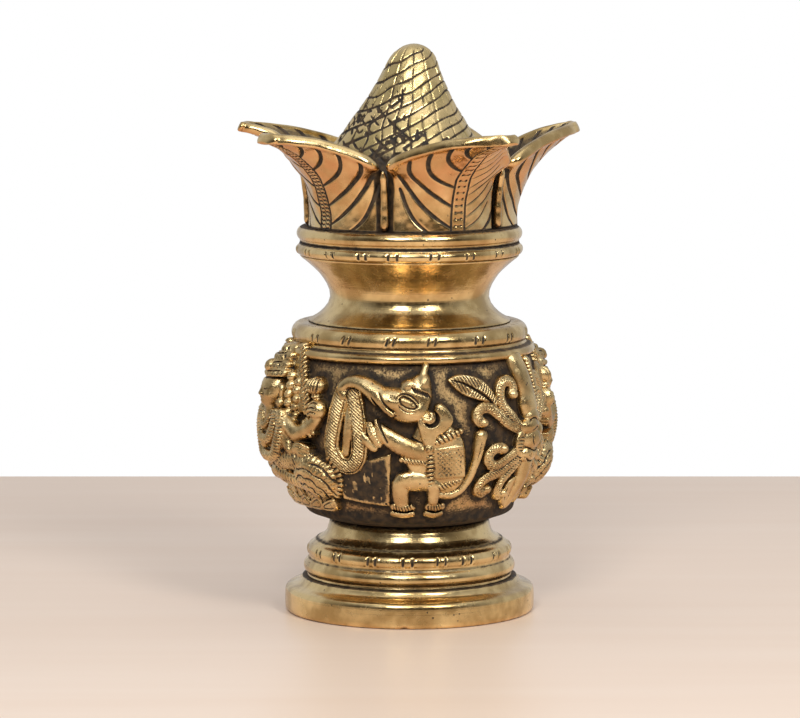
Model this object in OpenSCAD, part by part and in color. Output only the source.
// Kalash: a brass water pot on a turned foot, with cast relief round its belly and a lid
// made of five mango leaves round a coconut.
// The pot stands on z = 0 with its axis on Z. The first elephant faces -Y.
// Lengths are in millimetres and angles in degrees, turning from -Y towards +X.

/* [Foot] */
// Radius of the foot ring where it rests
foot_r = 32.9; // [31:0.1:35]
// Height of the foot ring
foot_h = 9.2; // [8.5:0.1:11]
// Height of the two rolls and the waist above the foot ring
moulding_h = 15.5; // [15:0.1:18]
// Radius of the waist under the belly
waist_r = 21.4; // [20:0.1:22.5]

/* [Belly] */
// Height of the belly between the waist and the shoulder
belly_h = 44.1; // [42:0.1:46]
// Radius of the belly at its widest, without the relief
belly_r = 34.3; // [33.5:0.1:35]
// Wall of the belly
belly_wall = 2.6; // [1.8:0.1:3]
// How far the elephants and trees stand out from the belly
relief_h = 3.4; // [2:0.1:4]
// How far the seated figures stand out from the belly
figure_h = 7.6; // [5:0.1:8]

/* [Shoulder and neck] */
// Height of the shoulder ring
shoulder_h = 8.2; // [8:0.1:10]
// Height of the neck
neck_h = 17.6; // [17:0.1:20]
// Wall of the neck
neck_wall = 2; // [1.5:0.1:2.2]
// Outer radius of the rim
rim_r = 30; // [29.5:0.1:31]
// Height of the rim
rim_h = 3.4; // [3.2:0.1:4]
// Radius of the mouth in the rim
mouth_r = 24.8; // [23.5:0.1:25]

/* [Lid] */
// Gap between the lid's sleeve and the mouth, all round
sleeve_gap = 0.3; // [0.2:0.05:0.5]
// How far the sleeve reaches down from the lid's seat
sleeve_depth = 5.2; // [3:0.1:5.4]
// Height of the collar
collar_h = 4.3; // [4:0.1:5]
// Outer radius of the collar
collar_r = 29.85; // [29.2:0.05:31]
// Thickness of a leaf at its foot
leaf_wall = 2.5; // [1.8:0.1:2.6]
// Height of the coconut above the collar
coconut_h = 47.7; // [44:0.1:52]
// Wall of the coconut
coconut_wall = 2.6; // [2:0.1:3.2]

/* [Hidden] */
$fn = 96;

// Levels of the seams, from the resting face up
z_moulding = foot_h;
z_belly = z_moulding + moulding_h;
z_shoulder = z_belly + belly_h;
z_neck = z_shoulder + shoulder_h;
z_rim = z_neck + neck_h;
z_seat = z_rim + rim_h;
z_crown = z_seat + collar_h;

// The belly's side is one arc
belly_arc_r = 48;
belly_mid_z = z_belly + 28.3;
belly_arc_x = belly_r - belly_arc_r;
field_low = 4.9;
relief_low = z_belly + 5.1;
relief_top = z_shoulder - 0.3;

// Turning from the front, of each casting on the belly and each leaf on the lid
deity_turn = [-72, 108];
elephant_turn = [-4, -140];
tree_turn = [57, 160];
leaf_turn = [-50, 22, 94, 166, -122];
leaf_tip_turn = [-55, 34, 105, 172, -102];

function belly_side(z, wall) = belly_arc_x
    + sqrt(pow(belly_arc_r + wall, 2) - pow(z - belly_mid_z, 2));
function belly_curve(low, high, wall, steps) = [
    for (i = [0 : steps])
        let (z = low + (high - low) * i / steps)
        [belly_side(z, wall), z]
];
function backwards(points) = [for (i = [len(points) - 1 : -1 : 0]) points[i]];
function unit(v) = v / norm(v);

// ---- Foot ----

foot_side_r = foot_r + 0.3;
foot_hollow_r = foot_r - 3.3;
foot_plate_r = 23.5;
lower_roll_r = 2.2;
upper_roll_r = 2.2;

module foot_ring() {
    color("darkgoldenrod")
    rotate_extrude()
    polygon([
        [foot_hollow_r, 0], [foot_r, 0], [foot_side_r, 2.7], [foot_side_r - 0.2, 5.4],
        [foot_side_r - 0.8, 7], [foot_r - 3.9, foot_h], [foot_plate_r, foot_h],
        [foot_plate_r, foot_h - 2.2], [foot_hollow_r, foot_h - 3.6]
    ]);
}

module foot_moulding() {
    waist_fillet = 3.4;
    color("goldenrod")
    translate([0, 0, z_moulding])
    rotate_extrude()
    union() {
        polygon(concat(
            [[foot_plate_r, 0], [27, 0], [26.4, 5.1], [25, 9.8]],
            [
                for (a = [0 : 15 : 90])
                    [
                        waist_r + waist_fillet * (1 - sin(a)),
                        moulding_h - 1.9 - waist_fillet * cos(a)
                    ]
            ],
            [
                [waist_r, moulding_h], [waist_r - 3.4, moulding_h],
                [waist_r - 3.4, moulding_h - 3.2], [foot_plate_r - 1, 6]
            ]
        ));
        translate([28.15 - lower_roll_r, 2.7])
        circle(lower_roll_r);
        translate([27.15 - upper_roll_r, 7.4])
        circle(upper_roll_r);
    }
}

// ---- Belly and its relief ----

module belly() {
    floor_t = 2.8;
    bowl_low = z_belly + 6;
    color("peru")
    rotate_extrude()
    polygon(concat(
        [
            [0, z_belly], [waist_r, z_belly], [waist_r + 3.2, z_belly + 1.6],
            [waist_r + 5.4, z_belly + 2.2], [waist_r + 6.2, z_belly + 3.3]
        ],
        belly_curve(z_belly + field_low, z_shoulder, 0, 12),
        backwards(belly_curve(bowl_low, z_shoulder, -belly_wall, 12)),
        [[waist_r, z_belly + floor_t + 0.8], [0, z_belly + floor_t]]
    ));
}

// A shell that lies on the belly, h thick
module belly_skin(h) {
    rotate_extrude()
    polygon(concat(
        belly_curve(relief_low, relief_top, 0, 12),
        backwards(belly_curve(relief_low, relief_top, h, 12))
    ));
}

// A casting on the belly: its outline, seen square on, cut from the skin
module casting(turn, h, outline, mirrored = 0) {
    intersection() {
        belly_skin(h);
        rotate([0, 0, turn])
        mirror([mirrored, 0, 0])
        rotate([90, 0, 0])
        linear_extrude(belly_r + 20)
        polygon(outline);
    }
}

// An elephant walking left with a garland on its trunk and a plaque in front of its feet
elephant_outline = [
    [-20.5, 62], [-21, 52], [-20.8, 42], [-20.6, 31], [-6, 30], [9, 29], [9.6, 33.5],
    [14, 33.5], [16.2, 40], [16.4, 47], [15, 52], [11, 54], [10, 60], [6, 66],
    [0, 68.5], [-7, 66.5], [-13, 70], [-18.5, 67.5]
];
// A tree with scrolls on both sides of its stem
tree_outline = [
    [-12, 66], [-3, 63], [0, 70], [4, 70], [8, 64], [13, 60], [13.5, 52], [9, 47], [13, 41],
    [9, 33], [-2, 29], [-9, 33], [-14.5, 36], [-12.5, 44], [-14.5, 52], [-15.5, 60]
];
// A seated figure in an arched niche
deity_outline = [
    [-13.5, 29], [13.5, 29], [14.6, 44], [14.5, 58], [13, 66], [7, 70], [-7, 70], [-13, 66],
    [-14.5, 58], [-14.6, 44]
];

module deity_1() {
    color("gold")
    casting(deity_turn[0], figure_h, deity_outline);
}

module deity_2() {
    color("gold")
    casting(deity_turn[1], figure_h, deity_outline, 1);
}

module elephant_1() {
    color("khaki")
    casting(elephant_turn[0], relief_h, elephant_outline);
}

module elephant_2() {
    color("khaki")
    casting(elephant_turn[1], relief_h, elephant_outline, 1);
}

module tree_1() {
    color("tan")
    casting(tree_turn[0], relief_h, tree_outline);
}

module tree_2() {
    color("tan")
    casting(tree_turn[1], relief_h, tree_outline, 1);
}

// ---- Shoulder, neck and rim ----

module shoulder_ring() {
    bead_r = 1.25;
    roll_r = 2.9;
    color("goldenrod")
    translate([0, 0, z_shoulder])
    rotate_extrude()
    union() {
        polygon([
            [28.6, 0], [32, 0], [32, 2.4], [29.5, 2.4], [28.2, shoulder_h],
            [24.5, shoulder_h], [24.5, shoulder_h - 2], [28.6, 2.7]
        ]);
        translate([33.25 - bead_r, bead_r])
        circle(bead_r);
        translate([31.3 - roll_r, 5.2])
        circle(roll_r);
    }
}

// Outer line of the neck, as heights above its foot
neck_side = [
    [26.9, 0], [24.3, 1.6], [22.4, 3.2], [20.9, 4.8], [20.5, 6.4], [20.6, 8], [21.5, 9.6],
    [22.5, 11.2], [23.8, 12.8], [25.5, 14.4], [27.2, 16], [29.2, neck_h]
];

module neck() {
    inner = [for (p = neck_side) [p.x - neck_wall, p.y]];
    color("darkgoldenrod")
    translate([0, 0, z_neck])
    rotate_extrude()
    polygon(concat(neck_side, backwards(inner)));
}

module rim() {
    roll_r = 1.5;
    color("gold")
    translate([0, 0, z_rim])
    rotate_extrude()
    union() {
        polygon([[mouth_r, 0], [29.2, 0], [29.2, rim_h], [mouth_r, rim_h]]);
        translate([rim_r - roll_r, roll_r])
        circle(roll_r);
    }
}

// ---- Lid ----

collar_bore_r = 20;
sleeve_r = mouth_r - sleeve_gap;
sleeve_wall = 2.2;

module collar() {
    roll_r = 1.95;
    color("gold")
    translate([0, 0, z_seat])
    rotate_extrude()
    union() {
        polygon([[collar_bore_r, 0], [29, 0], [29, collar_h], [collar_bore_r, collar_h]]);
        translate([collar_r - roll_r, collar_h / 2 + 0.1])
        circle(roll_r);
    }
}

module sleeve() {
    color("darkkhaki")
    translate([0, 0, z_seat - sleeve_depth])
    rotate_extrude()
    translate([sleeve_r - sleeve_wall, 0])
    square([sleeve_wall, sleeve_depth]);
}

// The leaf's outer mid line: [radius, height above the collar, half width, fold depth].
// The fold depth is how far the leaf's edges lie behind its mid line.
leaf_rows = [
    [28.5, 0, 15.5, 6.7], [28.5, 3.7, 15.5, 7], [29.1, 6.7, 15.5, 7.6], [29.9, 9.2, 15.6, 8.3],
    [30.8, 11.3, 16.2, 8.6], [32.4, 14.2, 17.2, 7], [34.8, 17, 14.4, 5.6], [38.2, 20, 10.4, 4],
    [41.8, 22.3, 6.8, 2.2], [44.6, 23.8, 4.2, 1.1], [46.6, 24.9, 1.6, 0.3]
];
leaf_steps = 8;
leaf_tip_r = leaf_rows[len(leaf_rows) - 1][0];

// Slope of the mid line at a row, as a unit vector in radius and height
function leaf_rise(i) = i == 0 ? [0, 1] : unit([
    leaf_rows[min(i + 1, len(leaf_rows) - 1)][0] - leaf_rows[i - 1][0],
    leaf_rows[min(i + 1, len(leaf_rows) - 1)][1] - leaf_rows[i - 1][1]
]);
// How far a row has turned from the leaf's foot towards its bent tip, 0 to 1
leaf_bend_r = 32;
function leaf_bend(i) = pow(max(0, (leaf_rows[i][0] - leaf_bend_r) / (leaf_tip_r - leaf_bend_r)), 0.8);
// A point of a leaf: row i, place t across from -1 to 1, and depth into its wall
function leaf_point(i, t, depth, turn, tip_turn) =
    let (
        row = leaf_rows[i],
        rise = leaf_rise(i),
        back = [-rise.y, rise.x],
        slope = 2 * row[3] * t / row[2],
        side = -slope / sqrt(1 + slope * slope),
        into = 1 / sqrt(1 + slope * slope),
        b = row[3] * t * t + depth * into,
        r = row[0] + back.x * b,
        across = row[2] * t + depth * side,
        a = turn + (tip_turn - turn) * leaf_bend(i)
    )
    [
        r * sin(a) + across * cos(a),
        -r * cos(a) + across * sin(a),
        z_crown + row[1] + back.y * b
    ];
function leaf_ring(i, turn, tip_turn) =
    let (wall = leaf_wall * (1 - 0.45 * i / (len(leaf_rows) - 1)))
    concat(
        [for (k = [0 : leaf_steps]) leaf_point(i, -1 + 2 * k / leaf_steps, 0, turn, tip_turn)],
        [for (k = [leaf_steps : -1 : 0]) leaf_point(i, -1 + 2 * k / leaf_steps, wall, turn, tip_turn)]
    );

module leaf(n) {
    rings = len(leaf_rows);
    around = 2 * (leaf_steps + 1);
    points = [for (i = [0 : rings - 1]) each leaf_ring(i, leaf_turn[n], leaf_tip_turn[n])];
    sides = [
        for (i = [0 : rings - 2], k = [0 : around - 1])
            let (a = i * around + k, b = i * around + (k + 1) % around)
            each [[a, a + around, b], [b, a + around, b + around]]
    ];
    low_end = [for (k = [0 : leaf_steps - 1])
        each [[k, k + 1, around - 1 - k], [k + 1, around - 2 - k, around - 1 - k]]];
    top = (rings - 1) * around;
    top_end = [for (f = low_end) [f[0] + top, f[2] + top, f[1] + top]];
    polyhedron(points, concat(sides, low_end, top_end));
}

module leaf_1() {
    color("khaki")
    leaf(0);
}

module leaf_2() {
    color("palegoldenrod")
    leaf(1);
}

module leaf_3() {
    color("khaki")
    leaf(2);
}

module leaf_4() {
    color("palegoldenrod")
    leaf(3);
}

module leaf_5() {
    color("khaki")
    leaf(4);
}

// The coconut: [height as a share of its whole height, outer radius]
coconut_rows = [
    [0, 23], [0.12, 23.3], [0.25, 23], [0.33, 21.8], [0.41, 19.8], [0.5, 17.2], [0.58, 15],
    [0.68, 12.2], [0.75, 10.2], [0.82, 8.6], [0.88, 7.1], [0.94, 5.5], [0.98, 3.9]
];
coconut_steps = 36;
// The husk has three soft ridges, strongest half way up
coconut_ridge_turn = 42;
function coconut_ridge(share) = 0.055 * sin(180 * min(1, share));
function coconut_point(row, k, wall) =
    let (
        a = 360 * k / coconut_steps,
        swell = 1 + coconut_ridge(row[0]) * cos(3 * (a - coconut_ridge_turn)),
        r = (row[1] - wall) * swell
    )
    [r * sin(a), -r * cos(a), z_crown + coconut_h * row[0]];

module coconut() {
    hollow_rows = len(coconut_rows) - 3;
    outer = [
        for (row = coconut_rows, k = [0 : coconut_steps - 1]) coconut_point(row, k, 0)
    ];
    inner = [
        for (i = [0 : hollow_rows - 1], k = [0 : coconut_steps - 1])
            coconut_point(coconut_rows[i], k, coconut_wall)
    ];
    tip = [[0, 0, z_crown + coconut_h]];
    roof = [[0, 0, z_crown + coconut_h * (coconut_rows[hollow_rows - 1][0] + 0.03)]];
    first = len(outer);
    tip_at = first + len(inner);
    roof_at = tip_at + 1;
    steps = coconut_steps;
    function next(k) = (k + 1) % steps;
    outer_faces = [
        for (i = [0 : len(coconut_rows) - 2], k = [0 : steps - 1])
            let (a = i * steps + k, b = i * steps + next(k))
            each [[a, a + steps, b], [b, a + steps, b + steps]]
    ];
    inner_faces = [
        for (i = [0 : hollow_rows - 2], k = [0 : steps - 1])
            let (a = first + i * steps + k, b = first + i * steps + next(k))
            each [[a, b, a + steps], [b, b + steps, a + steps]]
    ];
    top_row = (len(coconut_rows) - 1) * steps;
    roof_row = first + (hollow_rows - 1) * steps;
    ends = [
        for (k = [0 : steps - 1])
            each [
                [top_row + k, tip_at, top_row + next(k)],
                [roof_row + k, roof_row + next(k), roof_at],
                [k, next(k), first + k],
                [next(k), first + next(k), first + k]
            ]
    ];
    color("burlywood")
    polyhedron(concat(outer, inner, tip, roof), concat(outer_faces, inner_faces, ends));
}

foot_ring();
foot_moulding();
belly();
shoulder_ring();
neck();
rim();
deity_1();
deity_2();
elephant_1();
elephant_2();
tree_1();
tree_2();
collar();
sleeve();
leaf_1();
leaf_2();
leaf_3();
leaf_4();
leaf_5();
coconut();
